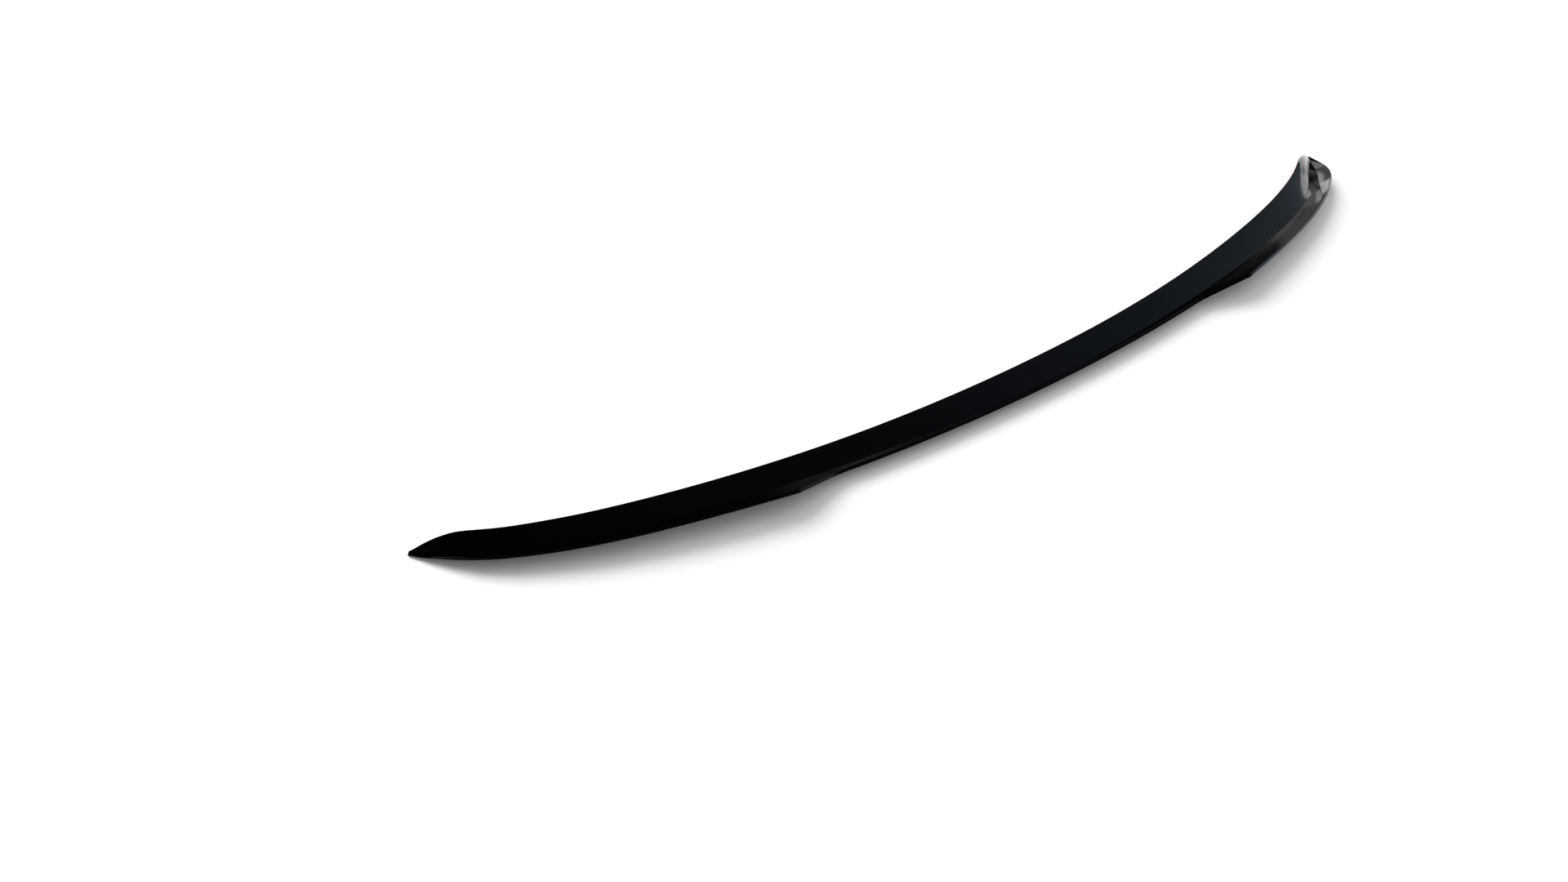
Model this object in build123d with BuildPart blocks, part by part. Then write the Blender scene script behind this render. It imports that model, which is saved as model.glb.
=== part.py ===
"""Stick-on boot-lid spoiler: a bowed lip with a stepped trailing edge.

Frame: millimetres, +Z up, -Y is the trailing side, X runs tip to tip.
The part sits on the narrow flat land of its lower edge, which is the plane
Z = 0, and the origin is the middle of the footprint.

Every cross-section is drawn in an upright plane square to the bow.  In that
plane s runs outwards to the trailing side, z runs up, and (0, 0) is the rear
corner of the land.
"""

import os
from bisect import bisect_right
from math import atan2, cos, hypot, radians, sin

from build123d import *

# ------------------------------------------------------------------ sizes
Y_MID = 0.413            # moves the whole bow so that its footprint is centred
SKIN_TOP = 1.5           # sheet thickness of the upper skin
SKIN_LOW = 1.4           # sheet thickness of the lower skin
SEAM = 0.3               # glue gap between the two skins
EDGE_DEG = 31.0          # tilt of the trailing edge face from upright
LAND = 1.6               # width of the flat land the part sits on
SEAM_RECESS = 0.8        # the glue stops this far short of the trailing edge
BEAD = 8.0               # width of the glue line in the lip
FILM = 0.06              # clearance that keeps glue and skins from overlapping

TAPE_MARGIN = 3.9        # from the land to the tape
TAPE_WIDTH = 21.0
TAPE_EDGE = 1.7          # least distance from the tape to the upper edge
TAPE_GAP = 0.08
FOAM_THICK = 1.1
LINER_GAP = 0.10
LINER_THICK = 0.15
LINER_OVER = 0.3         # the liner is this much wider than the foam, per side
BUTT = 0.8               # gap between neighbouring lengths of tape

NOTCH_IN = 241.5         # inner corner of the step in the trailing edge
NOTCH_OUT = 296.8        # outer corner of the step
TIP = 597.8
BEAD_END = 572.0         # the glue in the lip runs to here
FRONT_BEAD_END = 523.0   # the glue along the front runs to here
TAPE_CUTS = (242.0, 486.2, 585.0)
# extra sections where the bow turns fastest
BETWEEN = (312.0, 342.0, 380.0, 418.0, 452.0, 487.0, 512.0, 535.0, 553.0, 565.0, 574.0, 581.5, 588.0, 593.0)

# x, y of the land's rear corner; nx, ny square to the bow, outwards;
# front corner (s, z); crease (s, z)
STATIONS = [
    (0.00, -62.20, 0.0000, -1.0000, -27.26, 10.87, 11.00, 13.00),
    (60.00, -61.03, 0.0382, -0.9993, -26.88, 10.92, 10.98, 13.01),
    (120.00, -57.73, 0.0706, -0.9975, -26.01, 11.05, 10.94, 13.01),
    (180.00, -52.67, 0.0965, -0.9953, -25.23, 11.30, 10.87, 12.99),
    (215.00, -49.03, 0.1109, -0.9938, -25.01, 11.52, 10.78, 12.96),
    (241.50, -45.91, 0.1227, -0.9924, -24.97, 11.71, 10.62, 12.91),
    (270.00, -42.18, 0.1372, -0.9905, -25.01, 11.97, 10.33, 12.82),
    (296.80, -38.26, 0.1532, -0.9882, -25.08, 12.24, 9.98, 12.72),
    (325.00, -33.61, 0.1726, -0.9850, -25.08, 12.57, 9.57, 12.60),
    (360.00, -26.97, 0.2003, -0.9797, -24.89, 13.03, 9.25, 12.47),
    (400.00, -18.05, 0.2357, -0.9718, -24.29, 13.64, 9.23, 12.29),
    (435.00, -8.91, 0.2703, -0.9628, -23.42, 14.22, 9.17, 11.93),
    (470.00, 1.72, 0.3127, -0.9499, -22.36, 14.82, 8.45, 11.25),
    (500.00, 12.45, 0.3644, -0.9313, -21.44, 15.38, 5.90, 10.35),
    (525.00, 23.19, 0.4282, -0.9037, -20.25, 15.73, 1.50, 9.35),
    (545.00, 33.61, 0.4987, -0.8668, -19.05, 16.04, -2.30, 8.45),
    (560.00, 43.01, 0.5638, -0.8259, -18.00, 16.20, -4.00, 7.60),
    (570.00, 50.28, 0.6122, -0.7907, -16.60, 15.60, -4.00, 6.90),
    (578.00, 56.81, 0.6527, -0.7577, -14.00, 14.00, -3.40, 5.80),
    (585.00, 63.14, 0.6886, -0.7251, -10.60, 11.50, -2.50, 4.60),
    (591.00, 69.09, 0.7193, -0.6947, -6.47, 8.30, -1.40, 3.30),
    (595.00, 73.36, 0.7393, -0.6733, -3.60, 5.28, -0.60, 2.20),
    (597.80, 76.50, 0.7540, -0.6569, -1.90, 3.10, 0.10, 1.50),
]

# trailing edge, mid-thickness: x, s, z
EDGE_CENTRE = [
    (0.00, 15.55, 13.56), (60.00, 15.91, 13.59), (120.00, 16.79, 13.67),
    (180.00, 17.72, 13.79), (215.00, 18.14, 13.89), (241.50, 18.37, 13.98),
]
EDGE_STEP = [
    (241.50, 18.37, 13.98), (250.00, 21.20, 15.85), (260.00, 24.69, 18.14),
    (270.00, 28.24, 20.43), (280.00, 31.88, 22.74), (290.00, 35.59, 25.07),
    (296.80, 38.15, 26.65),
]
EDGE_SIDE = [
    (296.80, 38.15, 26.65), (325.00, 36.53, 26.40), (360.00, 34.78, 25.83),
    (400.00, 33.04, 24.82), (435.00, 31.42, 23.60), (470.00, 29.30, 22.08),
    (500.00, 26.85, 20.57), (525.00, 24.47, 19.10), (545.00, 21.90, 17.30),
    (560.00, 18.01, 14.87), (570.00, 13.98, 11.98), (578.00, 10.48, 9.10),
    (585.00, 7.39, 6.34), (591.00, 4.68, 3.95), (595.00, 2.80, 2.50),
    (597.80, 1.50, 1.60),
]
# how late the top drops from the shoulder to the crease: x, power
SHOULDER = [
    (0.0, 1.2), (300.0, 1.3), (450.0, 1.35), (505.0, 1.12), (525.0, 1.2),
    (545.0, 1.6), (560.0, 2.1), (597.8, 2.2),
]


class Cubic:
    """Natural cubic through (x, value) knots; flat at x = 0 if it starts there."""

    def __init__(self, xs, ys):
        n = len(xs)
        h = [xs[i + 1] - xs[i] for i in range(n - 1)]
        low, mid, up, rhs = [0.0] * n, [1.0] * n, [0.0] * n, [0.0] * n
        for i in range(1, n - 1):
            low[i], mid[i], up[i] = h[i - 1], 2 * (h[i - 1] + h[i]), h[i]
            rhs[i] = 3 * ((ys[i + 1] - ys[i]) / h[i] - (ys[i] - ys[i - 1]) / h[i - 1])
        if xs[0] == 0.0:
            mid[0], up[0], rhs[0] = 2 * h[0], h[0], 3 * (ys[1] - ys[0]) / h[0]
        for i in range(1, n):
            w = low[i] / mid[i - 1]
            mid[i] -= w * up[i - 1]
            rhs[i] -= w * rhs[i - 1]
        c = [0.0] * n
        c[-1] = rhs[-1] / mid[-1]
        for i in range(n - 2, -1, -1):
            c[i] = (rhs[i] - up[i] * c[i + 1]) / mid[i]
        self.xs, self.ys, self.c, self.h = xs, ys, c, h

    def __call__(self, x):
        i = min(max(bisect_right(self.xs, x) - 1, 0), len(self.xs) - 2)
        h, c0, c1 = self.h[i], self.c[i], self.c[i + 1]
        b = (self.ys[i + 1] - self.ys[i]) / h - h * (2 * c0 + c1) / 3
        d = (c1 - c0) / (3 * h)
        t = x - self.xs[i]
        return self.ys[i] + t * (b + t * (c0 + t * d))


COLS = [Cubic([r[0] for r in STATIONS], [r[k] for r in STATIONS]) for k in range(1, 8)]
EDGES = [
    (Cubic([r[0] for r in t], [r[1] for r in t]), Cubic([r[0] for r in t], [r[2] for r in t]))
    for t in (EDGE_CENTRE, EDGE_STEP, EDGE_SIDE)
]
POWER = Cubic([r[0] for r in SHOULDER], [r[1] for r in SHOULDER])


def lin(p, q, t):
    return (p[0] + (q[0] - p[0]) * t, p[1] + (q[1] - p[1]) * t)


def step(p, q, dist):
    """The point dist along the way from p to q."""
    return lin(p, q, dist / hypot(q[0] - p[0], q[1] - p[1]))


def cross_lines(p, a, q, b):
    """Where the line through p at angle a meets the line through q at angle b."""
    det = cos(a) * sin(b) - sin(a) * cos(b)
    t = ((q[0] - p[0]) * sin(b) - (q[1] - p[1]) * cos(b)) / det
    return (p[0] + t * cos(a), p[1] + t * sin(a))


class Section:
    """All corner points of one cross-section, zone 0 centre, 1 step, 2 side."""

    def __init__(self, x, zone):
        side = -1.0 if x < 0 else 1.0
        u = abs(x)
        y, nx, ny, s_f, z_f, s_c, z_c = [c(u) for c in COLS]
        s_t, z_t = EDGES[zone][0](u), EDGES[zone][1](u)
        n = hypot(nx, ny)
        nx, ny = side * nx / n, ny / n
        self.plane = Plane(origin=(x, y + Y_MID, 0), x_dir=(nx, ny, 0), z_dir=(ny, -nx, 0))
        k = min(1.0, z_t / 12.5)
        top, low, seam = SKIN_TOP * k, SKIN_LOW * k, SEAM * k
        self.k = k
        # corners
        front, crease = (s_f, z_f), (s_c, z_c)
        tilt = (-sin(radians(EDGE_DEG)), cos(radians(EDGE_DEG)))
        half = 0.5 * (top + low + seam)
        edge_up = (s_t + tilt[0] * half, z_t + tilt[1] * half)
        edge_dn = (s_t - tilt[0] * half, z_t - tilt[1] * half)
        seam_up = (edge_up[0] - tilt[0] * top, edge_up[1] - tilt[1] * top)
        seam_dn = (edge_dn[0] + tilt[0] * low, edge_dn[1] + tilt[1] * low)
        land_r, land_f = (0.0, 0.0), (-LAND * k, 0.0)
        # top of the body, front corner to crease
        p = POWER(u)
        run, drop = s_c - s_f, z_c - z_f

        def top_at(t):
            return (s_f + run * t, z_f + drop * t**p)

        def slope_at(t):
            return atan2(drop * p * max(t, 1e-6) ** (p - 1), run)

        fractions = (0.25, 0.5, 0.75)
        self.body = [front] + [top_at(t) for t in fractions] + [crease]
        lip = atan2(edge_up[1] - z_c, edge_up[0] - s_c)
        beta = slope_at(0.08)
        theta = atan2(z_f, land_f[0] - s_f)
        # inner side of the upper skin
        end = slope_at(1.0)
        on_body = (s_c + sin(end) * top, z_c - cos(end) * top)
        on_lip = (s_c + sin(lip) * top, z_c - cos(lip) * top)
        crease_in = cross_lines(on_body, end, on_lip, lip)
        wedge = sin(theta + beta)

        def on_mount(dist, depth=0.0):
            """dist back from the front corner along the mounting face."""
            return (
                s_f + dist * cos(theta) + depth * sin(theta),
                z_f - dist * sin(theta) + depth * cos(theta),
            )

        front_in = on_mount(top / wedge)
        inner = []
        for t in fractions[1:]:
            q, a = top_at(t), slope_at(t)
            inner.append((q[0] + sin(a) * top, q[1] - cos(a) * top))
        self.body_in = [crease_in] + inner[::-1] + [front_in]
        self.edge_up, self.seam_up = edge_up, seam_up
        # lower skin
        reach = top + seam
        flange = on_mount(reach / wedge)
        flange_in = on_mount((reach + low * cos(theta + beta)) / wedge, low)
        slant = atan2(edge_dn[1], edge_dn[0])
        knee = cross_lines(
            (land_f[0] + low * sin(theta), low * cos(theta)),
            -theta,
            (-low * sin(slant), low * cos(slant)),
            slant,
        )
        self.low = [edge_dn, land_r, land_f, flange, flange_in, knee, seam_dn]
        # glue in the lip
        recess = SEAM_RECESS * k
        room = hypot(crease_in[0] - seam_up[0], crease_in[1] - seam_up[1])
        width = min(BEAD * k, 0.8 * room - recess)
        ups = [step(seam_up, crease_in, d) for d in (recess, recess + width)]
        dns = [step(seam_dn, knee, d) for d in (recess, recess + width)]
        film = FILM * k
        self.rear_bead = [
            step(ups[0], dns[0], film),
            step(ups[1], dns[1], film),
            step(dns[1], ups[1], film),
            step(dns[0], ups[0], film),
        ]
        # glue along the front
        near = (reach / wedge + 0.9 * k) * cos(theta) / run
        far = ((reach + low * cos(theta + beta)) / wedge * cos(theta) + low * sin(theta) + 2.6 * k) / run

        def below(t, depth):
            q, a = top_at(t), slope_at(t)
            return (q[0] + sin(a) * depth, q[1] - cos(a) * depth)

        self.front_bead = [
            below(near, top + film),
            below(far, top + film),
            below(far, reach - 1.4 * film),
            below(near, reach - 1.4 * film),
        ]
        # tape on the mounting face, m forwards from the land, h outwards
        self.theta, self.land_f = theta, land_f
        self.face = hypot(z_f, land_f[0] - s_f)

    def tape(self, m, h):
        return (
            self.land_f[0] - m * cos(self.theta) - h * sin(self.theta),
            m * sin(self.theta) - h * cos(self.theta),
        )

    def strip(self, h0, h1, over):
        m0 = TAPE_MARGIN - over
        m1 = min(TAPE_MARGIN + TAPE_WIDTH, self.face - TAPE_EDGE) + over
        return [self.tape(m0, h0), self.tape(m1, h0), self.tape(m1, h1), self.tape(m0, h1)]


def knots(table, low, high):
    """Section positions from low to high: the ends and the table's own between."""
    return [low] + [r[0] for r in table if low + 4 < r[0] < high - 4] + [high]


CENTRE = knots(EDGE_CENTRE, 0.0, NOTCH_IN)
CENTRE = [-x for x in CENTRE[:0:-1]] + CENTRE
STEP = [NOTCH_IN, 255.0, 269.0, 283.0, NOTCH_OUT]
SIDE = sorted([r[0] for r in EDGE_SIDE] + list(BETWEEN))
ZONES = [(0, CENTRE, False), (1, STEP, True), (2, SIDE, True)]


def sweep_sections(positions, zone, outline):
    """Loft the closed outlines through the positions, inside the open BuildPart."""
    faces = []
    for x in positions:
        sec = Section(x, zone)
        with BuildSketch(sec.plane) as cut:
            with BuildLine():
                outline(sec)
            make_face()
        faces.append(cut.sketch.face())
    loft(sections=faces)


def upper_outline(sec):
    Spline(*sec.body)
    Polyline(sec.body[-1], sec.edge_up, sec.seam_up, sec.body_in[0])
    Spline(*sec.body_in)
    Line(sec.body_in[-1], sec.body[0])


def closed(points):
    Polyline(*points, close=True)


os.makedirs("parts", exist_ok=True)
made = []


def save(builder, label):
    builder.part.label = label
    made.append((label, builder.part))
    export_step(builder.part, "parts/" + label + ".step")


# ------------------------------------------------------------ the two skins
with BuildPart() as upper_skin:
    for zone, positions, twice in ZONES[1:]:
        sweep_sections(positions, zone, upper_outline)
    mirror(about=Plane.YZ)
    sweep_sections(CENTRE, 0, upper_outline)
save(upper_skin, "upper_skin")

with BuildPart() as lower_skin:
    for zone, positions, twice in ZONES[1:]:
        sweep_sections(positions, zone, lambda sec: closed(sec.low))
    mirror(about=Plane.YZ)
    sweep_sections(CENTRE, 0, lambda sec: closed(sec.low))
save(lower_skin, "lower_skin")

# ------------------------------------------------------------------ the glue
side_bead = [x for x in SIDE if x < BEAD_END - 1] + [BEAD_END]
side_front = [x for x in SIDE if x < FRONT_BEAD_END - 1] + [FRONT_BEAD_END]

with BuildPart() as rear_bond_bead:
    sweep_sections(STEP, 1, lambda sec: closed(sec.rear_bead))
    sweep_sections(side_bead, 2, lambda sec: closed(sec.rear_bead))
    mirror(about=Plane.YZ)
    sweep_sections(CENTRE, 0, lambda sec: closed(sec.rear_bead))
save(rear_bond_bead, "rear_bond_bead")

with BuildPart() as front_bond_bead:
    sweep_sections(STEP, 1, lambda sec: closed(sec.front_bead))
    sweep_sections(side_front, 2, lambda sec: closed(sec.front_bead))
    mirror(about=Plane.YZ)
    sweep_sections(CENTRE, 0, lambda sec: closed(sec.front_bead))
save(front_bond_bead, "front_bond_bead")

# ------------------------------------------------------------------ the tape
ALL_X = sorted([r[0] for r in STATIONS] + list(BETWEEN))
cut_a, cut_b, cut_c = TAPE_CUTS
half_row = [x for x in ALL_X if 0 < x < cut_a - 6]
runs = {
    "centre": [-cut_a] + [-x for x in half_row[::-1]] + [0.0] + half_row + [cut_a],
    "right": [cut_a + BUTT] + [x for x in ALL_X if cut_a + 8 < x < cut_b - 8] + [cut_b],
    "end_right": [cut_b + BUTT] + [x for x in ALL_X if cut_b + 4 < x < cut_c - 2] + [cut_c],
}
for name in ("right", "end_right"):
    runs[name.replace("right", "left")] = [-x for x in runs[name][::-1]]

h_foam = (TAPE_GAP, TAPE_GAP + FOAM_THICK)
h_liner = (h_foam[1] + LINER_GAP, h_foam[1] + LINER_GAP + LINER_THICK)
for name in ("centre", "left", "right", "end_left", "end_right"):
    with BuildPart() as foam:
        sweep_sections(runs[name], 2 if "end" in name else 0, lambda sec: closed(sec.strip(*h_foam, 0.0)))
    save(foam, "tape_foam_" + name)
    with BuildPart() as liner:
        sweep_sections(runs[name], 2 if "end" in name else 0, lambda sec: closed(sec.strip(*h_liner, LINER_OVER)))
    save(liner, "tape_liner_" + name)

box = Compound(children=[p for _, p in made]).bounding_box()
print("bounds", box.min, box.max)
for label, part in made:
    print(label, "solids", len(part.solids()), "volume", round(part.volume, 1), "valid", part.is_valid)
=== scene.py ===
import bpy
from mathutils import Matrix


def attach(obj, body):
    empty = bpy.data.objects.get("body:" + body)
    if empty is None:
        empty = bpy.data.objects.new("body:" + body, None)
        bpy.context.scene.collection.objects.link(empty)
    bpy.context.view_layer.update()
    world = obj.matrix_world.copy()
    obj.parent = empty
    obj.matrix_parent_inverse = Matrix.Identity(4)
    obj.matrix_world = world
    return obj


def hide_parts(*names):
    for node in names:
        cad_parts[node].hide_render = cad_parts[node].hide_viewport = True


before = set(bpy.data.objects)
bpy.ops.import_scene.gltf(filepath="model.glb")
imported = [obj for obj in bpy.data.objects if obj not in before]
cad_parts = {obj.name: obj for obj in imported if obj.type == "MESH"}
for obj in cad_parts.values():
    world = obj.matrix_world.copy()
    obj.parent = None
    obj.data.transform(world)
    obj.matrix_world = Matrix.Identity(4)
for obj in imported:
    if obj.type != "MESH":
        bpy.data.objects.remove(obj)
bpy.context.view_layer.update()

import math
import random
from bisect import bisect_right
from math import atan2, cos, hypot, radians, sin, tan

import bpy
import numpy as np
from mathutils import Matrix, Vector

random.seed(7)
np.random.seed(7)

# ---------------------------------------------------------------- dimensions (mm)
Y_MID = 0.413
SKIN_TOP, SKIN_LOW, SEAM = 1.5, 1.4, 0.3
EDGE_DEG = 31.0
LAND = 1.6
SEAM_RECESS, BEAD = 0.8, 8.0
TAPE_MARGIN, TAPE_WIDTH, TAPE_EDGE, TAPE_GAP = 3.9, 21.0, 1.7, 0.08
FOAM_THICK, LINER_GAP, LINER_THICK, LINER_OVER = 1.1, 0.10, 0.15, 0.3
BUTT = 0.8
NOTCH_IN, NOTCH_OUT, TIP = 241.5, 296.8, 597.8
TAPE_CUTS = (242.0, 486.2, 585.0)

# x, y of the land's rear corner; nx, ny square to the bow; front (s, z); crease (s, z)
STATIONS = [
    (0.00, -62.20, 0.0000, -1.0000, -27.26, 10.87, 11.00, 13.00),
    (60.00, -61.03, 0.0382, -0.9993, -26.88, 10.92, 10.98, 13.01),
    (120.00, -57.73, 0.0706, -0.9975, -26.01, 11.05, 10.94, 13.01),
    (180.00, -52.67, 0.0965, -0.9953, -25.23, 11.30, 10.87, 12.99),
    (215.00, -49.03, 0.1109, -0.9938, -25.01, 11.52, 10.78, 12.96),
    (241.50, -45.91, 0.1227, -0.9924, -24.97, 11.71, 10.62, 12.91),
    (270.00, -42.18, 0.1372, -0.9905, -25.01, 11.97, 10.33, 12.82),
    (296.80, -38.26, 0.1532, -0.9882, -25.08, 12.24, 9.98, 12.72),
    (325.00, -33.61, 0.1726, -0.9850, -25.08, 12.57, 9.57, 12.60),
    (360.00, -26.97, 0.2003, -0.9797, -24.89, 13.03, 9.25, 12.47),
    (400.00, -18.05, 0.2357, -0.9718, -24.29, 13.64, 9.23, 12.29),
    (435.00, -8.91, 0.2703, -0.9628, -23.42, 14.22, 9.17, 11.93),
    (470.00, 1.72, 0.3127, -0.9499, -22.36, 14.82, 8.45, 11.25),
    (500.00, 12.45, 0.3644, -0.9313, -21.44, 15.38, 5.90, 10.35),
    (525.00, 23.19, 0.4282, -0.9037, -20.25, 15.73, 1.50, 9.35),
    (545.00, 33.61, 0.4987, -0.8668, -19.05, 16.04, -2.30, 8.45),
    (560.00, 43.01, 0.5638, -0.8259, -18.00, 16.20, -4.00, 7.60),
    (570.00, 50.28, 0.6122, -0.7907, -16.60, 15.60, -4.00, 6.90),
    (578.00, 56.81, 0.6527, -0.7577, -14.00, 14.00, -3.40, 5.80),
    (585.00, 63.14, 0.6886, -0.7251, -10.60, 11.50, -2.50, 4.60),
    (591.00, 69.09, 0.7193, -0.6947, -6.47, 8.30, -1.40, 3.30),
    (595.00, 73.36, 0.7393, -0.6733, -3.60, 5.28, -0.60, 2.20),
    (597.80, 76.50, 0.7540, -0.6569, -1.90, 3.10, 0.10, 1.50),
]
EDGE_CENTRE = [
    (0.00, 15.55, 13.56), (60.00, 15.91, 13.59), (120.00, 16.79, 13.67),
    (180.00, 17.72, 13.79), (215.00, 18.14, 13.89), (241.50, 18.37, 13.98),
]
EDGE_STEP = [
    (241.50, 18.37, 13.98), (250.00, 21.20, 15.85), (260.00, 24.69, 18.14),
    (270.00, 28.24, 20.43), (280.00, 31.88, 22.74), (290.00, 35.59, 25.07),
    (296.80, 38.15, 26.65),
]
EDGE_SIDE = [
    (296.80, 38.15, 26.65), (325.00, 36.53, 26.40), (360.00, 34.78, 25.83),
    (400.00, 33.04, 24.82), (435.00, 31.42, 23.60), (470.00, 29.30, 22.08),
    (500.00, 26.85, 20.57), (525.00, 24.47, 19.10), (545.00, 21.90, 17.30),
    (560.00, 18.01, 14.87), (570.00, 13.98, 11.98), (578.00, 10.48, 9.10),
    (585.00, 7.39, 6.34), (591.00, 4.68, 3.95), (595.00, 2.80, 2.50),
    (597.80, 1.50, 1.60),
]
SHOULDER = [(0.0, 1.2), (300.0, 1.3), (450.0, 1.35), (505.0, 1.12), (525.0, 1.2), (545.0, 1.6), (560.0, 2.1), (597.8, 2.2)]


class Cubic:
    def __init__(self, xs, ys):
        n = len(xs)
        h = [xs[i + 1] - xs[i] for i in range(n - 1)]
        low, mid, up, rhs = [0.0] * n, [1.0] * n, [0.0] * n, [0.0] * n
        for i in range(1, n - 1):
            low[i], mid[i], up[i] = h[i - 1], 2 * (h[i - 1] + h[i]), h[i]
            rhs[i] = 3 * ((ys[i + 1] - ys[i]) / h[i] - (ys[i] - ys[i - 1]) / h[i - 1])
        if xs[0] == 0.0:
            mid[0], up[0], rhs[0] = 2 * h[0], h[0], 3 * (ys[1] - ys[0]) / h[0]
        for i in range(1, n):
            w = low[i] / mid[i - 1]
            mid[i] -= w * up[i - 1]
            rhs[i] -= w * rhs[i - 1]
        c = [0.0] * n
        c[-1] = rhs[-1] / mid[-1]
        for i in range(n - 2, -1, -1):
            c[i] = (rhs[i] - up[i] * c[i + 1]) / mid[i]
        self.xs, self.ys, self.c, self.h = xs, ys, c, h

    def __call__(self, x):
        i = min(max(bisect_right(self.xs, x) - 1, 0), len(self.xs) - 2)
        h, c0, c1 = self.h[i], self.c[i], self.c[i + 1]
        b = (self.ys[i + 1] - self.ys[i]) / h - h * (2 * c0 + c1) / 3
        d = (c1 - c0) / (3 * h)
        t = x - self.xs[i]
        return self.ys[i] + t * (b + t * (c0 + t * d))


COLS = [Cubic([r[0] for r in STATIONS], [r[k] for r in STATIONS]) for k in range(1, 8)]


def table2(t):
    return Cubic([r[0] for r in t], [r[1] for r in t]), Cubic([r[0] for r in t], [r[2] for r in t])


E_CEN, E_STEP, E_SIDE = table2(EDGE_CENTRE), table2(EDGE_STEP), table2(EDGE_SIDE)
POWER = Cubic([r[0] for r in SHOULDER], [r[1] for r in SHOULDER])
ROUND_IN, ROUND_OUT = 3.2, 0.5     # how far the two corners of the step are rounded off


def line_ext(curve, u, lo, hi):
    """The curve between lo and hi, and its end tangents outside."""
    if u < lo:
        return curve(lo) + (u - lo) * (curve(lo + 0.5) - curve(lo)) / 0.5
    if u > hi:
        return curve(hi) + (u - hi) * (curve(hi) - curve(hi - 0.5)) / 0.5
    return curve(u)


def trailing(u):
    """(s, z) of the trailing edge's middle, with both corners of the step rounded."""
    a = (line_ext(E_CEN[0], u, 0, NOTCH_IN), line_ext(E_CEN[1], u, 0, NOTCH_IN))
    b = (line_ext(E_STEP[0], u, NOTCH_IN, NOTCH_OUT), line_ext(E_STEP[1], u, NOTCH_IN, NOTCH_OUT))
    c = (line_ext(E_SIDE[0], u, NOTCH_OUT, TIP), line_ext(E_SIDE[1], u, NOTCH_OUT, TIP))
    if u < 0.5 * (NOTCH_IN + NOTCH_OUT):
        p, q, k, sign = a, b, ROUND_IN, 1.0
    else:
        p, q, k, sign = b, c, ROUND_OUT, -1.0
    big = p if sign * (p[0] - q[0]) > 0 else q
    h = max(k - abs(p[0] - q[0]), 0.0)
    s = big[0] + sign * h * h / (4 * k)
    if abs(q[0] - p[0]) > 1e-6:
        g = (s - big[0]) * (q[1] - p[1]) / (q[0] - p[0])
        g = max(-2.0, min(2.0, g)) if h else 0.0
    else:
        g = 0.0
    if h:                       # stay on the lip: slope of the side lip
        g = (s - big[0]) * 0.60
    return s, big[1] + g


def unit(v):
    n = hypot(v[0], v[1])
    return (v[0] / n, v[1] / n)


def cross_lines(p, a, q, b):
    det = cos(a) * sin(b) - sin(a) * cos(b)
    t = ((q[0] - p[0]) * sin(b) - (q[1] - p[1]) * cos(b)) / det
    return (p[0] + t * cos(a), p[1] + t * sin(a))


class Outline:
    """A closed outline in (s, z) with a tangent at every point."""

    def __init__(self):
        self.p, self.t = [], []

    def add(self, p, t):
        self.p.append(p)
        self.t.append(unit(t))

    def line(self, a, b, n, skip_first=False):
        d = (b[0] - a[0], b[1] - a[1])
        for i in range(n + 1):
            if i == 0 and skip_first:
                continue
            f = i / n
            self.add((a[0] + d[0] * f, a[1] + d[1] * f), d)

    def bend(self, a, ctrl, b, n, skip_first=True, skip_last=False):
        """A quadratic curve from a to b pulled to ctrl."""
        for i in range(n + 1):
            if (i == 0 and skip_first) or (i == n and skip_last):
                continue
            f = i / n
            g = 1 - f
            p = (g * g * a[0] + 2 * f * g * ctrl[0] + f * f * b[0], g * g * a[1] + 2 * f * g * ctrl[1] + f * f * b[1])
            t = (g * (ctrl[0] - a[0]) + f * (b[0] - ctrl[0]), g * (ctrl[1] - a[1]) + f * (b[1] - ctrl[1]))
            self.add(p, t)


def toward(p, q, d):
    u = unit((q[0] - p[0], q[1] - p[1]))
    return (p[0] + u[0] * d, p[1] + u[1] * d)


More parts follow.
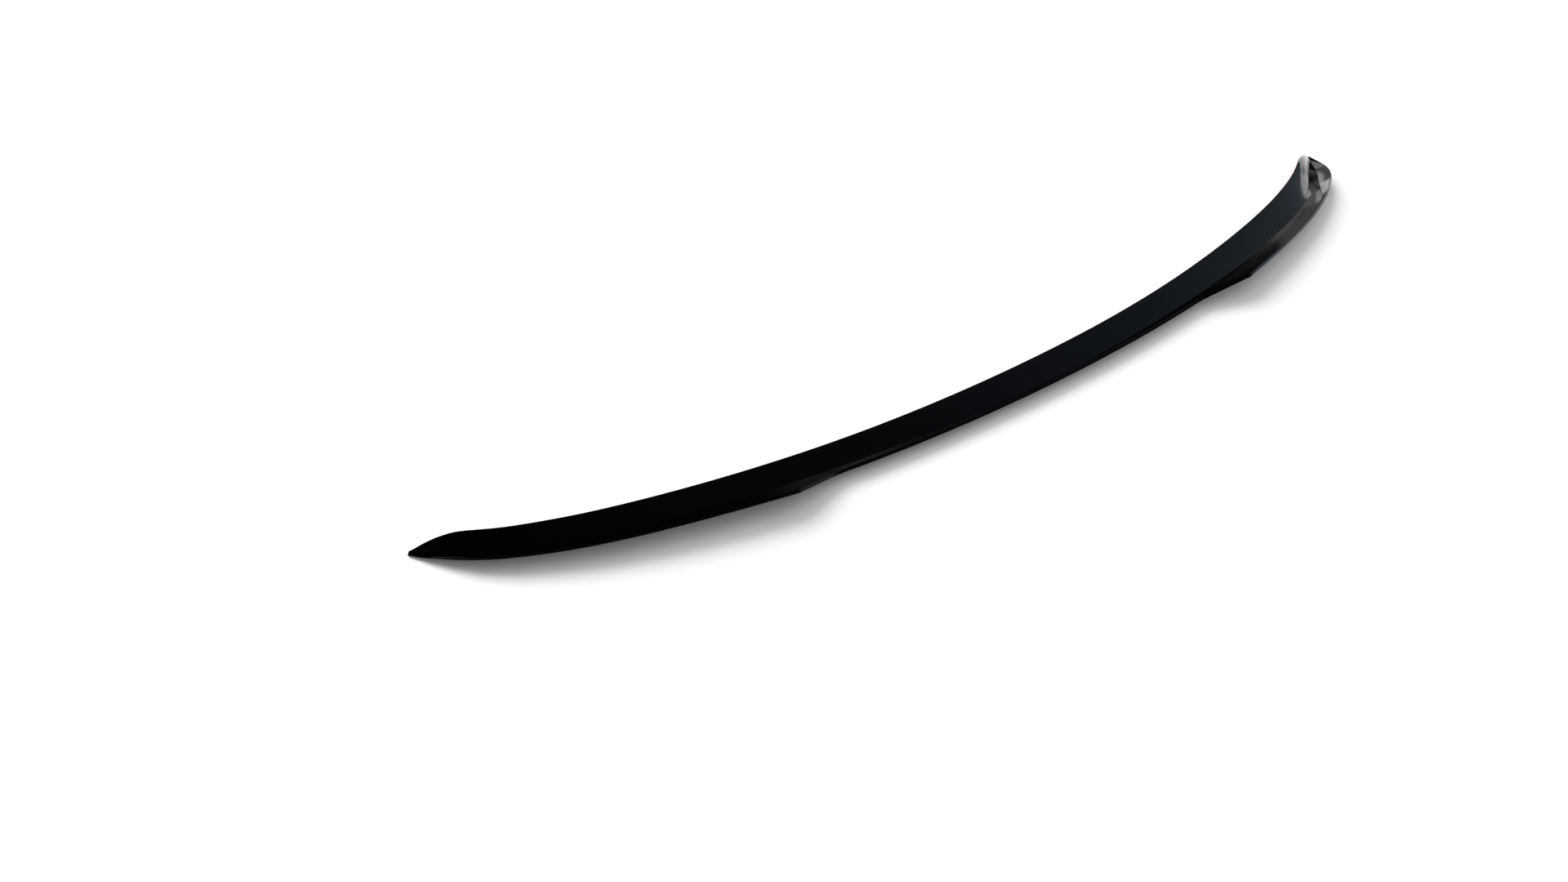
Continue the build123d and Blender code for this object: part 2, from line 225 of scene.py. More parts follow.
class Station:
    def __init__(self, x):
        side = -1.0 if x < 0 else 1.0
        u = abs(x)
        y, nx, ny, s_f, z_f, s_c, z_c = [c(u) for c in COLS]
        s_t, z_t = trailing(u)
        n = hypot(nx, ny)
        self.o = (x, y + Y_MID)
        self.n = (side * nx / n, ny / n)
        k = min(1.0, z_t / 12.5)
        top, low, seam = SKIN_TOP * k, SKIN_LOW * k, SEAM * k
        self.k, self.u = k, u
        tilt = (-sin(radians(EDGE_DEG)), cos(radians(EDGE_DEG)))
        half = 0.5 * (top + low + seam)
        self.front, self.crease = (s_f, z_f), (s_c, z_c)
        self.edge_up = (s_t + tilt[0] * half, z_t + tilt[1] * half)
        self.edge_dn = (s_t - tilt[0] * half, z_t - tilt[1] * half)
        self.seam_up = (self.edge_up[0] - tilt[0] * top, self.edge_up[1] - tilt[1] * top)
        self.seam_dn = (self.edge_dn[0] + tilt[0] * low, self.edge_dn[1] + tilt[1] * low)
        self.land_r, self.land_f = (0.0, 0.0), (-LAND * k, 0.0)
        self.p, self.run, self.drop = POWER(u), s_c - s_f, z_c - z_f
        self.lip = atan2(self.edge_up[1] - z_c, self.edge_up[0] - s_c)
        beta = self.slope_at(0.08)
        theta = atan2(z_f, self.land_f[0] - s_f)
        end = self.slope_at(1.0)
        on_body = (s_c + sin(end) * top, z_c - cos(end) * top)
        on_lip = (s_c + sin(self.lip) * top, z_c - cos(self.lip) * top)
        self.crease_in = cross_lines(on_body, end, on_lip, self.lip)
        wedge = sin(theta + beta)
        self.theta, self.beta, self.top, self.low = theta, beta, top, low
        self.front_in = self.on_mount(top / wedge)
        reach = top + seam
        self.flange = self.on_mount(reach / wedge)
        self.flange_in = self.on_mount((reach + low * cos(theta + beta)) / wedge, low)
        slant = atan2(self.edge_dn[1], self.edge_dn[0])
        self.slant = slant
        self.knee = cross_lines(
            (self.land_f[0] + low * sin(theta), low * cos(theta)), -theta,
            (-low * sin(slant), low * cos(slant)), slant)
        self.face = hypot(z_f, self.land_f[0] - s_f)

    def top_at(self, t):
        return (self.front[0] + self.run * t, self.front[1] + self.drop * t ** self.p)

    def slope_at(self, t):
        return atan2(self.drop * self.p * max(t, 1e-6) ** (self.p - 1), self.run)

    def on_mount(self, dist, depth=0.0):
        s, z = self.front
        return (s + dist * cos(self.theta) + depth * sin(self.theta), z - dist * sin(self.theta) + depth * cos(self.theta))

    def tape(self, m, h):
        return (self.land_f[0] - m * cos(self.theta) - h * sin(self.theta), m * sin(self.theta) - h * cos(self.theta))

    def at(self, q):
        return ((self.o[0] + self.n[0] * q[0]) / 1000, (self.o[1] + self.n[1] * q[0]) / 1000, q[1] / 1000)


def spread(lo, hi, fine=()):
    """Positions from lo to hi: 2 mm apart, closer near the tips and the step."""
    xs = [lo]
    while xs[-1] < hi:
        u = abs(xs[-1])
        d = 2.4
        if u > 560:
            d = 0.8
        if u > 590:
            d = 0.4
        for c, w, f in ((NOTCH_IN, 16, 0.8), (NOTCH_OUT, 5, 0.2), (NOTCH_OUT, 12, 0.6)):
            if abs(u - c) < w:
                d = min(d, f)
        xs.append(xs[-1] + d)
    xs[-1] = hi
    if xs[-1] - xs[-2] < 0.1:
        xs.pop(-2)
    return xs


def shell_mesh(name, xs, outline_of, close=True):
    """Sweeps closed outlines into one mesh with exact normals."""
    stations = [Station(x) for x in xs]
    outs = [outline_of(s) for s in stations]
    n = len(outs[0].p)
    P = np.array([[s.at(q) for q in o.p] for s, o in zip(stations, outs)])
    T = np.array([[(s.n[0] * t[0], s.n[1] * t[0], t[1]) for t in o.t] for s, o in zip(stations, outs)])
    D = np.gradient(P, np.array(xs) / 1000.0, axis=0)
    N = np.cross(T, D)
    N /= np.maximum(np.linalg.norm(N, axis=2, keepdims=True), 1e-12)
    m = len(xs)
    verts = P.reshape(-1, 3)
    faces = []
    for i in range(m - 1):
        a, b = i * n, (i + 1) * n
        for j in range(n if close else n - 1):
            k = (j + 1) % n
            faces.append((a + j, a + k, b + k, b + j))
    # outward check: the outline runs front -> crease -> edge over the top
    mesh = bpy.data.meshes.new(name)
    caps = []
    if close:
        caps = [tuple(range(n - 1, -1, -1)), tuple(range((m - 1) * n, m * n))]
    mesh.from_pydata(verts.tolist(), [], faces + caps)
    mesh.update()
    # is the winding outward?
    f = mesh.polygons[(m // 2) * n + n // 6]
    want = N[m // 2, n // 6]
    flip = f.normal.dot(Vector(want)) < 0
    area = 0.0
    o = outs[m // 2].p
    for j in range(n):
        q, r = o[j], o[(j + 1) % n]
        area += q[0] * r[1] - r[0] * q[1]
    # positive area: counter-clockwise in (s, z), so outward is (tz, -ts)
    s0 = stations[m // 2]
    t0 = outs[m // 2].t[n // 6]
    out2 = (t0[1], -t0[0]) if area > 0 else (-t0[1], t0[0])
    out3 = Vector((s0.n[0] * out2[0], s0.n[1] * out2[0], out2[1]))
    if f.normal.dot(out3) < 0:
        mesh.flip_normals()
    if Vector(want).dot(out3) < 0:
        N = -N
    for p in mesh.polygons:
        p.use_smooth = True
    normals = N.reshape(-1, 3)
    loops = np.empty(len(mesh.loops), dtype=np.int32)
    mesh.loops.foreach_get("vertex_index", loops)
    ln = normals[loops]
    nf = len(faces)
    for p in mesh.polygons[nf:] if close else ():
        for li in p.loop_indices:
            ln[li] = p.normal
    mesh.normals_split_custom_set([tuple(v) for v in ln])
    ob = bpy.data.objects.new(name, mesh)
    bpy.context.scene.collection.objects.link(ob)
    return ob


# ---------------------------------------------------------------- outlines
FACET = [(0.0, 0.90, 0.0), (250.0, 0.90, 0.0), (400.0, 0.90, 0.0), (470.0, 0.90, 0.0), (490.0, 0.88, 0.22), (505.0, 0.80, 0.55),
         (525.0, 0.56, 1.00), (545.0, 0.44, 1.20), (560.0, 0.42, 1.12), (572.0, 0.35, 1.02), (585.0, 0.26, 0.60),
         (597.8, 0.20, 0.05)]
FACET_F = Cubic([r[0] for r in FACET], [r[1] for r in FACET])
FACET_D = Cubic([r[0] for r in FACET], [r[2] for r in FACET])


def facet(s):
    """The break in the lip: where it lies between crease and edge, and its height."""
    f = FACET_F(s.u)
    d = FACET_D(s.u) if s.u > 470 else 0.0
    return (s.crease[0] + (s.edge_up[0] - s.crease[0]) * f,
            s.crease[1] + (s.edge_up[1] - s.crease[1]) * f - max(d, 0.0))


def crease_round(u):
    return 0.35


def upper_outline(s):
    o = Outline()
    k = s.k
    r = 0.5 * k
    # nose
    nose_in = s.on_mount(r)
    t_n = min(0.9, r / s.run * cos(s.beta))
    nose_out = s.top_at(t_n)
    o.line(s.front_in, nose_in, 2)
    o.bend(nose_in, s.front, nose_out, 6)
    # body to crease
    c = min(crease_round(s.u) * min(1.0, k * 1.6), 0.42 * hypot(s.edge_up[0] - s.crease[0], s.edge_up[1] - s.crease[1]))
    t_c = 1 - c / hypot(s.run, s.drop)
    for i in range(1, 25):
        t = t_n + (t_c - t_n) * i / 24
        a = s.slope_at(t)
        o.add(s.top_at(t), (cos(a), sin(a)))
    p_c, a_c = s.top_at(t_c), s.slope_at(t_c)
    mid = facet(s)
    q_c = toward(s.crease, mid, c)
    ctrl = cross_lines(p_c, a_c, q_c, atan2(mid[1] - s.crease[1], mid[0] - s.crease[0]))
    o.bend(p_c, ctrl, q_c, 8)
    # lip to the trailing edge
    e = 0.55 * k
    before = toward(s.edge_up, mid, e)
    after = toward(s.edge_up, s.seam_up, e)
    m = 0.35 * min(1.0, hypot(s.edge_up[0] - mid[0], s.edge_up[1] - mid[1]) / 3)
    o.line(q_c, toward(mid, s.crease, m), 6, skip_first=True)
    o.bend(toward(mid, s.crease, m), mid, toward(mid, s.edge_up, m), 4)
    o.line(toward(mid, s.edge_up, m), before, 5, skip_first=True)
    o.bend(before, s.edge_up, after, 6)
    low = 0.16 * k
    o.line(after, toward(s.seam_up, s.edge_up, low), 2, skip_first=True)
    inside = toward(s.seam_up, s.crease_in, low)
    o.bend(toward(s.seam_up, s.edge_up, low), s.seam_up, inside, 3)
    # inner side
    o.line(inside, s.crease_in, 4, skip_first=True)
    for t in (0.85, 0.7, 0.55, 0.42):
        q, a = s.top_at(t), s.slope_at(t)
        o.add((q[0] + sin(a) * s.top, q[1] - cos(a) * s.top), (-cos(a), -sin(a)))
    return o


def lower_outline(s):
    o = Outline()
    k = s.k
    low = 0.16 * k
    e = 0.5 * k
    land = 0.22 * k
    o.line(toward(s.seam_dn, s.knee, low), toward(s.seam_dn, s.knee, low * 0.99), 1)
    o.p.pop(); o.t.pop()
    o.bend(toward(s.seam_dn, s.knee, low), s.seam_dn, toward(s.seam_dn, s.edge_dn, low), 3)
    a, b = toward(s.edge_dn, s.seam_dn, e), toward(s.edge_dn, s.land_r, e)
    o.line(o.p[-1], a, 1, skip_first=True)
    o.bend(a, s.edge_dn, b, 6)
    c = toward(s.land_r, s.edge_dn, 0.8 * k)
    o.line(b, c, 18, skip_first=True)
    d = toward(s.land_r, s.land_f, land)
    o.bend(c, s.land_r, d, 6)
    f = toward(s.land_f, s.land_r, land)
    o.line(d, f, 2, skip_first=True)
    g = toward(s.land_f, s.front, 0.5 * k)
    o.bend(f, s.land_f, g, 5)
    o.line(g, s.flange, 14, skip_first=True)
    o.line(s.flange, s.flange_in, 1, skip_first=True)
    o.line(s.flange_in, s.knee, 6, skip_first=True)
    o.line(s.knee, toward(s.seam_dn, s.knee, low * 1.5), 8, skip_first=True)
    return o


def box_outline(pts, r, n=4):
    """A closed four-cornered strip with rounded corners."""
    o = Outline()
    m = len(pts)
    for i in range(m):
        p, q, w = pts[i - 1], pts[i], pts[(i + 1) % m]
        a, b = toward(q, p, r), toward(q, w, r)
        o.bend(a, q, b, n, skip_first=False)
        wlen = hypot(w[0] - q[0], w[1] - q[1])
        if wlen > 6 * r:
            for f in (0.12, 0.3, 0.5, 0.7, 0.88):
                c = (b[0] + (toward(w, q, r)[0] - b[0]) * f, b[1] + (toward(w, q, r)[1] - b[1]) * f)
                o.add(c, (w[0] - q[0], w[1] - q[1]))
    return o


def strip_points(s, h0, h1, over, end_from=None):
    m0 = TAPE_MARGIN - over
    m1 = min(TAPE_MARGIN + TAPE_WIDTH, s.face - TAPE_EDGE) + over
    return m0, m1, h0, h1


# ---------------------------------------------------------------- materials
def new_mat(name):
    m = bpy.data.materials.new(name)
    m.use_nodes = True
    nt = m.node_tree
    bsdf = nt.nodes["Principled BSDF"]
    return m, nt, bsdf


def node(nt, kind, **props):
    n = nt.nodes.new(kind)
    for k, v in props.items():
        setattr(n, k, v)
    return n


def ramp(nt, stops, interp="LINEAR"):
    n = nt.nodes.new("ShaderNodeValToRGB")
    n.color_ramp.interpolation = interp
    els = n.color_ramp.elements
    els[0].position, els[0].color = stops[0][0], (*stops[0][1], 1)
    els[1].position, els[1].color = stops[-1][0], (*stops[-1][1], 1)
    for pos, col in stops[1:-1]:
        e = els.new(pos)
        e.color = (*col, 1)
    return n


def gloss_black(name, base=0.0004, rough=0.07):
    """Piano-black moulded ABS: very dark, faintly blue, with a trace of orange peel, haze and dust."""
    m, nt, b = new_mat(name)
    co = node(nt, "ShaderNodeTexCoord")
    # broad, barely visible haze
    haze = node(nt, "ShaderNodeTexNoise")
    haze.inputs["Scale"].default_value = 9.0
    haze.inputs["Detail"].default_value = 4.0
    haze.inputs["Roughness"].default_value = 0.55
    nt.links.new(co.outputs["Object"], haze.inputs["Vector"])
    # fine lint and dust specks
    dust = node(nt, "ShaderNodeTexVoronoi", feature="F1")
    dust.inputs["Scale"].default_value = 260.0
    dust.inputs["Randomness"].default_value = 1.0
    nt.links.new(co.outputs["Object"], dust.inputs["Vector"])
    speck = node(nt, "ShaderNodeMapRange")
    speck.inputs["From Min"].default_value = 0.05
    speck.inputs["From Max"].default_value = 0.09
    speck.inputs["To Min"].default_value = 1.0
    speck.inputs["To Max"].default_value = 0.0
    nt.links.new(dust.outputs["Distance"], speck.inputs["Value"])
    keep = node(nt, "ShaderNodeTexNoise")
    keep.inputs["Scale"].default_value = 60.0
    nt.links.new(co.outputs["Object"], keep.inputs["Vector"])
    keep_r = node(nt, "ShaderNodeMapRange")
    keep_r.inputs["From Min"].default_value = 0.60
    keep_r.inputs["From Max"].default_value = 0.68
    nt.links.new(keep.outputs["Fac"], keep_r.inputs["Value"])
    specks = node(nt, "ShaderNodeMath", operation="MULTIPLY")
    nt.links.new(speck.outputs["Result"], specks.inputs[0])
    nt.links.new(keep_r.outputs["Result"], specks.inputs[1])
    # colour
    tint = ramp(nt, [(0.35, (base * 0.85, base * 0.95, base * 1.15)), (0.7, (base * 1.1, base * 1.2, base * 1.5))])
    nt.links.new(haze.outputs["Fac"], tint.inputs["Fac"])
    mix = node(nt, "ShaderNodeMix", data_type="RGBA")
    mix.inputs["B"].default_value = (0.03, 0.03, 0.031, 1)
    nt.links.new(specks.outputs[0], mix.inputs["Factor"])
    nt.links.new(tint.outputs["Color"], mix.inputs["A"])
    nt.links.new(mix.outputs["Result"], b.inputs["Base Color"])
    # roughness
    rr = node(nt, "ShaderNodeMapRange")
    rr.inputs["From Min"].default_value = 0.3
    rr.inputs["From Max"].default_value = 0.75
    rr.inputs["To Min"].default_value = rough * 0.8
    rr.inputs["To Max"].default_value = rough * 1.6
    nt.links.new(haze.outputs["Fac"], rr.inputs["Value"])
    radd = node(nt, "ShaderNodeMath", operation="MULTIPLY_ADD")
    radd.inputs[1].default_value = 0.25
    nt.links.new(specks.outputs[0], radd.inputs[0])
    nt.links.new(rr.outputs["Result"], radd.inputs[2])
    nt.links.new(radd.outputs[0], b.inputs["Roughness"])
    # orange peel, a few microns deep
    peel = node(nt, "ShaderNodeTexNoise")
    peel.inputs["Scale"].default_value = 230.0
    peel.inputs["Detail"].default_value = 2.0
    nt.links.new(co.outputs["Object"], peel.inputs["Vector"])
    bump = node(nt, "ShaderNodeBump")
    bump.inputs["Strength"].default_value = 0.05
    bump.inputs["Distance"].default_value = 0.0001
    nt.links.new(peel.outputs["Fac"], bump.inputs["Height"])
    nt.links.new(bump.outputs["Normal"], b.inputs["Normal"])
    b.inputs["IOR"].default_value = 1.5
    return m


def liner_red(name):
    m, nt, b = new_mat(name)
    co = node(nt, "ShaderNodeTexCoord")
    n1 = node(nt, "ShaderNodeTexNoise")
    n1.inputs["Scale"].default_value = 22.0
    n1.inputs["Detail"].default_value = 5.0
    nt.links.new(co.outputs["Object"], n1.inputs["Vector"])
    col = ramp(nt, [(0.3, (0.70, 0.050, 0.075)), (0.7, (0.84, 0.085, 0.115))])
    nt.links.new(n1.outputs["Fac"], col.inputs["Fac"])
    nt.links.new(col.outputs["Color"], b.inputs["Base Color"])
    # pressed diamond pattern of release film
    w1 = node(nt, "ShaderNodeTexWave", wave_type="BANDS", bands_direction="DIAGONAL", wave_profile="SIN")
    w1.inputs["Scale"].default_value = 160.0
    nt.links.new(co.outputs["Object"], w1.inputs["Vector"])
    rot = node(nt, "ShaderNodeMapping")
    rot.inputs["Rotation"].default_value = (0, 0, radians(90))
    nt.links.new(co.outputs["Object"], rot.inputs["Vector"])
    w2 = node(nt, "ShaderNodeTexWave", wave_type="BANDS", bands_direction="DIAGONAL", wave_profile="SIN")
    w2.inputs["Scale"].default_value = 160.0
    nt.links.new(rot.outputs["Vector"], w2.inputs["Vector"])
    mul = node(nt, "ShaderNodeMath", operation="MULTIPLY")
    nt.links.new(w1.outputs["Fac"], mul.inputs[0])
    nt.links.new(w2.outputs["Fac"], mul.inputs[1])
    n2 = node(nt, "ShaderNodeTexNoise")
    n2.inputs["Scale"].default_value = 70.0
    n2.inputs["Detail"].default_value = 3.0
    nt.links.new(co.outputs["Object"], n2.inputs["Vector"])
    add = node(nt, "ShaderNodeMath", operation="MULTIPLY_ADD")
    add.inputs[1].default_value = 0.35
    nt.links.new(mul.outputs[0], add.inputs[0])
    nt.links.new(n2.outputs["Fac"], add.inputs[2])
    bump = node(nt, "ShaderNodeBump")
    bump.inputs["Strength"].default_value = 0.35
    bump.inputs["Distance"].default_value = 0.0004
    nt.links.new(add.outputs[0], bump.inputs["Height"])
    nt.links.new(bump.outputs["Normal"], b.inputs["Normal"])
    rr = node(nt, "ShaderNodeMapRange")
    rr.inputs["To Min"].default_value = 0.26
    rr.inputs["To Max"].default_value = 0.42
    nt.links.new(n2.outputs["Fac"], rr.inputs["Value"])
    nt.links.new(rr.outputs["Result"], b.inputs["Roughness"])
    b.inputs["IOR"].default_value = 1.5
    return m


def foam_grey(name):
    m, nt, b = new_mat(name)
    co = node(nt, "ShaderNodeTexCoord")
    v = node(nt, "ShaderNodeTexVoronoi", feature="F1")
    v.inputs["Scale"].default_value = 2600.0
    nt.links.new(co.outputs["Object"], v.inputs["Vector"])
    n = node(nt, "ShaderNodeTexNoise")
    n.inputs["Scale"].default_value = 120.0
    n.inputs["Detail"].default_value = 4.0
    nt.links.new(co.outputs["Object"], n.inputs["Vector"])
    col = ramp(nt, [(0.3, (0.030, 0.028, 0.029)), (0.75, (0.060, 0.056, 0.057))])
    nt.links.new(n.outputs["Fac"], col.inputs["Fac"])
    nt.links.new(col.outputs["Color"], b.inputs["Base Color"])
    bump = node(nt, "ShaderNodeBump")
    bump.inputs["Strength"].default_value = 0.6
    bump.inputs["Distance"].default_value = 0.0003
    nt.links.new(v.outputs["Distance"], bump.inputs["Height"])
    nt.links.new(bump.outputs["Normal"], b.inputs["Normal"])
    b.inputs["Roughness"].default_value = 0.85
    return m


def glue_black(name):
    m, nt, b = new_mat(name)
    co = node(nt, "ShaderNodeTexCoord")
    n = node(nt, "ShaderNodeTexNoise")
    n.inputs["Scale"].default_value = 300.0
    n.inputs["Detail"].default_value = 3.0
    nt.links.new(co.outputs["Object"], n.inputs["Vector"])
    col = ramp(nt, [(0.3, (0.010, 0.010, 0.010)), (0.75, (0.022, 0.022, 0.023))])
    nt.links.new(n.outputs["Fac"], col.inputs["Fac"])
    nt.links.new(col.outputs["Color"], b.inputs["Base Color"])
    bump = node(nt, "ShaderNodeBump")
    bump.inputs["Strength"].default_value = 0.4
    bump.inputs["Distance"].default_value = 0.0002
    nt.links.new(n.outputs["Fac"], bump.inputs["Height"])
    nt.links.new(bump.outputs["Normal"], b.inputs["Normal"])
    b.inputs["Roughness"].default_value = 0.45
    return m


M_TOP = gloss_black("gloss_black_top")
M_LOW = gloss_black("gloss_black_low", base=0.0005, rough=0.04)
M_LINER = liner_red("release_film_red")
M_FOAM = foam_grey("acrylic_foam")
M_GLUE = glue_black("bond_glue")

# ---------------------------------------------------------------- pieces
ALL = spread(-TIP, 0)
ALL = ALL + [-x for x in ALL[-2::-1]]

top = shell_mesh("lip_upper_skin", ALL, upper_outline)
top.data.materials.append(M_TOP)
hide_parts("upper_skin")
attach(top, "shell")

low = shell_mesh("lip_lower_skin", ALL, lower_outline)
low.data.materials.append(M_LOW)
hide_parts("lower_skin")
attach(low, "shell")

h_foam = (TAPE_GAP, TAPE_GAP + FOAM_THICK)
h_liner = (h_foam[1] + LINER_GAP, h_foam[1] + LINER_GAP + LINER_THICK)
a, b, c = TAPE_CUTS
RUNS = {
    "centre": (-a, a), "right": (a + BUTT, b), "end_right": (b + BUTT, c),
    "left": (-b, -a - BUTT), "end_left": (-c, -b - BUTT),
}


def steps(lo, hi, d):
    n = max(4, round((hi - lo) / d))
    return [lo + (hi - lo) * i / n for i in range(n + 1)]


def foam_outline(s):
    m0, m1, h0, h1 = strip_points(s, *h_foam, 0.0)
    pts = [s.tape(m0, h0), s.tape(m1, h0), s.tape(m1, h1), s.tape(m0, h1)]
    return box_outline(pts, 0.12, 3)


def liner_outline(s):
    m0, m1, h0, h1 = strip_points(s, *h_liner, LINER_OVER)
    pts = [s.tape(m0, h0), s.tape(m1, h0), s.tape(m1, h1), s.tape(m0, h1)]
    return box_outline(pts, 0.05, 3)


for name, (lo, hi) in RUNS.items():
    d = 3.0 if "end" not in name else 1.5
    f = shell_mesh("tape_foam_detail_" + name, steps(lo, hi, d), foam_outline)
    f.data.materials.append(M_FOAM)
    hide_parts("tape_foam_" + name)
    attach(f, "shell")
    l = shell_mesh("tape_liner_detail_" + name, steps(lo, hi, d), liner_outline)
    l.data.materials.append(M_LINER)
    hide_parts("tape_liner_" + name)
    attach(l, "liner_" + name)

for n in ("rear_bond_bead", "front_bond_bead"):
    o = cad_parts[n]
    o.data.materials.clear()
    o.data.materials.append(M_GLUE)

# ---------------------------------------------------------------- stage
scene = bpy.context.scene
mesh = bpy.data.meshes.new("floor")
R = 60.0
mesh.from_pydata([(-R, -R, 0), (R, -R, 0), (R, R, 0), (-R, R, 0)], [], [(0, 1, 2, 3)])
floor = bpy.data.objects.new("floor", mesh)
floor.location.z = -0.0002
scene.collection.objects.link(floor)
fm, fnt, fb = new_mat("pale_floor")
co = node(fnt, "ShaderNodeTexCoord")
fn = node(fnt, "ShaderNodeTexNoise")
fn.inputs["Scale"].default_value = 3.0
fnt.links.new(co.outputs["Object"], fn.inputs["Vector"])
fr = ramp(fnt, [(0.3, (0.90, 0.90, 0.90)), (0.7, (0.915, 0.915, 0.915))])
fnt.links.new(fn.outputs["Fac"], fr.inputs["Fac"])
fnt.links.new(fr.outputs["Color"], fb.inputs["Base Color"])
fb.inputs["Roughness"].default_value = 0.9
fb.inputs["Specular IOR Level"].default_value = 0.0
floor.data.materials.append(fm)
floor.visible_glossy = False


def area(name, loc, size, energy, aim=(0, 0, 0), glossy=False, color=(1, 1, 1)):
    d = bpy.data.lights.new(name, "AREA")
    d.shape = "RECTANGLE"
    d.size, d.size_y = size
    d.energy = energy
    d.color = color
    o = bpy.data.objects.new(name, d)
    o.location = loc
    o.rotation_mode = "QUATERNION"
    o.rotation_quaternion = (Vector(aim) - Vector(loc)).to_track_quat("-Z", "Y")
    o.visible_glossy = glossy
    scene.collection.objects.link(o)
    return o


def sun(name, direction, strength, spread_deg):
    """A very broad, even light from one side; it shows in no reflection."""
    d = bpy.data.lights.new(name, "SUN")
    d.energy = strength
    d.angle = radians(spread_deg)
    o = bpy.data.objects.new(name, d)
    o.rotation_mode = "QUATERNION"
    o.rotation_quaternion = (-Vector(direction)).to_track_quat("-Z", "Y")
    o.visible_glossy = False
    scene.collection.objects.link(o)
    return o


sun("key", (-0.25, 1.0, 1.0), 3.35, 66)
sun("fill", (-0.2, -0.9, 0.75), 2.2, 120)


def strip_light(name, eye, az, el, dist, level):
    """A pale strip seen from eye between two azimuths and two elevations, in reflections only."""
    am, aw = 0.5 * (az[0] + az[1]), radians(az[1] - az[0])
    z0, z1 = eye[2] + dist * tan(radians(el[0])), eye[2] + dist * tan(radians(el[1]))
    loc = (eye[0] + dist * cos(radians(am)), eye[1] + dist * sin(radians(am)), 0.5 * (z0 + z1))
    size = (dist * aw, z1 - z0)
    o = area(name, loc, size, level * math.pi * size[0] * size[1], aim=(eye[0], eye[1], loc[2]), glossy=True)
    o.visible_diffuse = False
    o.visible_camera = False
    return o


strip_light("strip_far", (0.52, 0.025, 0.015), (52.15, 55.5), (1.5, 10.8), 30.0, 1.62)
strip_light("strip_near", (0.552, 0.04, 0.012), (52.9, 57.0), (11.0, 17.0), 0.6, 1.62)
strip_light("strip_inner", (0.515, 0.02, 0.015), (48.0, 51.9), (2.5, 18.5), 0.6, 0.33)
strip_light("strip_low", (0.515, 0.02, 0.015), (48.0, 51.9), (-3.0, 2.4), 0.6, 0.16)
strip_light("strip_top", (0.552, 0.04, 0.012), (43.0, 49.0), (14.0, 18.9), 0.3, 0.28)
strip_light("strip_tip", (0.583, 0.068, 0.008), (44.0, 53.2), (7.0, 15.0), 0.25, 0.75)

# a low black card that keeps the far strip out of the reflections left of the right-hand end
mesh = bpy.data.meshes.new("black_card")
mesh.from_pydata([(-0.62, 0.06, 0.0), (0.835, 0.48, 0.0), (0.835, 0.48, 0.15), (-0.62, 0.06, 0.15)], [], [(0, 1, 2, 3)])
card = bpy.data.objects.new("black_card", mesh)
scene.collection.objects.link(card)
cm, cnt, cb = new_mat("black_card")
cb.inputs["Base Color"].default_value = (0.004, 0.004, 0.004, 1)
cb.inputs["Roughness"].default_value = 0.9
cb.inputs["Specular IOR Level"].default_value = 0.0
card.data.materials.append(cm)
card.visible_camera = False
card.visible_diffuse = False
card.visible_shadow = False

# a dark studio with pale panels low down on the right-hand side
w = bpy.data.worlds.new("studio")
scene.world = w
w.use_nodes = True
wn = w.node_tree
bg = wn.nodes["Background"]
tc = node(wn, "ShaderNodeTexCoord")
sep = node(wn, "ShaderNodeSeparateXYZ")
wn.links.new(tc.outputs["Generated"], sep.inputs["Vector"])


def calc(op, a, b=None):
    n = node(wn, "ShaderNodeMath", operation=op)
    for i, v in enumerate((a, b)):
        if v is None:
            continue
        if isinstance(v, (int, float)):
            n.inputs[i].default_value = v
        else:
            wn.links.new(v, n.inputs[i])
    return n.outputs[0]


el = calc("MULTIPLY", calc("ARCSINE", sep.outputs["Z"]), 180 / math.pi)
az = calc("MULTIPLY", calc("ARCTAN2", sep.outputs["Y"], sep.outputs["X"]), 180 / math.pi)


def rise(v, lo, hi):
    """0 below lo, 1 above hi, smooth between; lo above hi turns it round."""
    n = node(wn, "ShaderNodeMapRange", interpolation_type="SMOOTHSTEP")
    wn.links.new(v, n.inputs["Value"])
    if lo < hi:
        n.inputs["From Min"].default_value, n.inputs["From Max"].default_value = lo, hi
    else:
        n.inputs["From Min"].default_value, n.inputs["From Max"].default_value = hi, lo
        n.inputs["To Min"].default_value, n.inputs["To Max"].default_value = 1.0, 0.0
    return n.outputs["Result"]


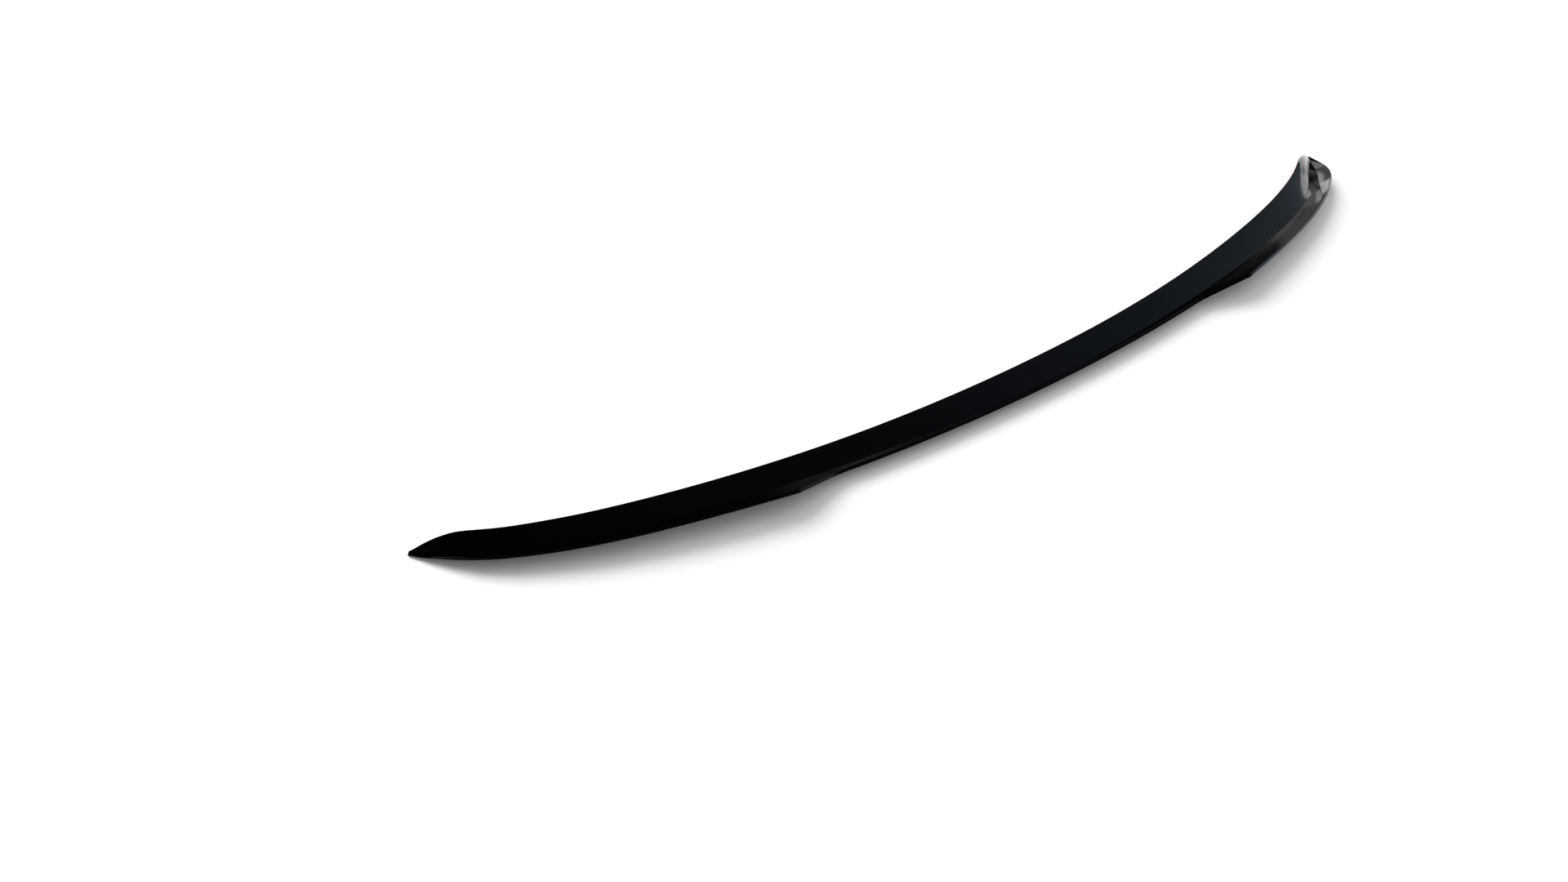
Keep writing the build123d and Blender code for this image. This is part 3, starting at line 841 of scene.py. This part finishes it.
def patch(level, az_lo, az_hi, el_lo, el_hi):
    """A pale panel: each limit is (outside, inside) in degrees."""
    v = calc("MULTIPLY", calc("MULTIPLY", rise(az, *az_lo), rise(az, *az_hi)),
             calc("MULTIPLY", rise(el, *el_lo), rise(el, *el_hi)))
    return calc("MULTIPLY", v, level)


PANELS = [
    # level, az from (out, in), az to (out, in), el from (out, in), el to (out, in)
    (1.85, (3, 10), (36, 30), (-60, -30), (24, 21.5)),
    (1.00, (-34, -14), (10, 3), (-60, -30), (5.5, 2.5)),
    (0.50, (95, 125), (185, 180), (-4, 2), (22, 12)),
    (0.50, (-185, -180), (-95, -125), (-4, 2), (18, 8)),
]
total = calc("MULTIPLY", rise(el, 80, 20), 0.012)
total = calc("ADD", total, 0.008)
# the glow above the right-hand panel fades as it turns away
fade = calc("POWER", calc("MINIMUM", calc("MAXIMUM", calc("MULTIPLY", calc("SUBTRACT", 47.0, az), 1 / 27), 0.0), 1.15), 1.25)
glow = calc("MULTIPLY", calc("MULTIPLY", fade, 0.28), calc("MULTIPLY", rise(el, 19, 24), rise(el, 66, 34)))
total = calc("ADD", total, calc("MULTIPLY", glow, rise(az, -70, -20)))
for p in PANELS:
    total = calc("ADD", total, patch(*p))
tint = node(wn, "ShaderNodeMix", data_type="RGBA")
tint.inputs["A"].default_value = (0.80, 0.98, 1.22, 1)
tint.inputs["B"].default_value = (1, 1, 1, 1)
wn.links.new(rise(total, 0.05, 1.2), tint.inputs["Factor"])
wn.links.new(tint.outputs["Result"], bg.inputs["Color"])
wn.links.new(total, bg.inputs["Strength"])
scene.view_settings.view_transform = "Standard"
scene.view_settings.look = "None"

# ---------------------------------------------------------------- camera
cam_d = bpy.data.cameras.new("camera")
cam_d.lens = 51.130
cam_d.sensor_width = 36.0
cam_d.clip_start, cam_d.clip_end = 0.05, 200.0
cam = bpy.data.objects.new("camera", cam_d)
right = Vector((0.7525218, -0.6558570, 0.0596877))
up = Vector((0.3458972, 0.4707428, 0.8116381))
back = -Vector((0.5604160, 0.5901295, -0.5811033))
m = Matrix((right, up, back)).transposed().to_4x4()
m.translation = Vector((-1.3615163, -1.1663849, 1.1630978))
cam.matrix_world = m
scene.collection.objects.link(cam)
scene.camera = cam

bpy.context.view_layer.update()
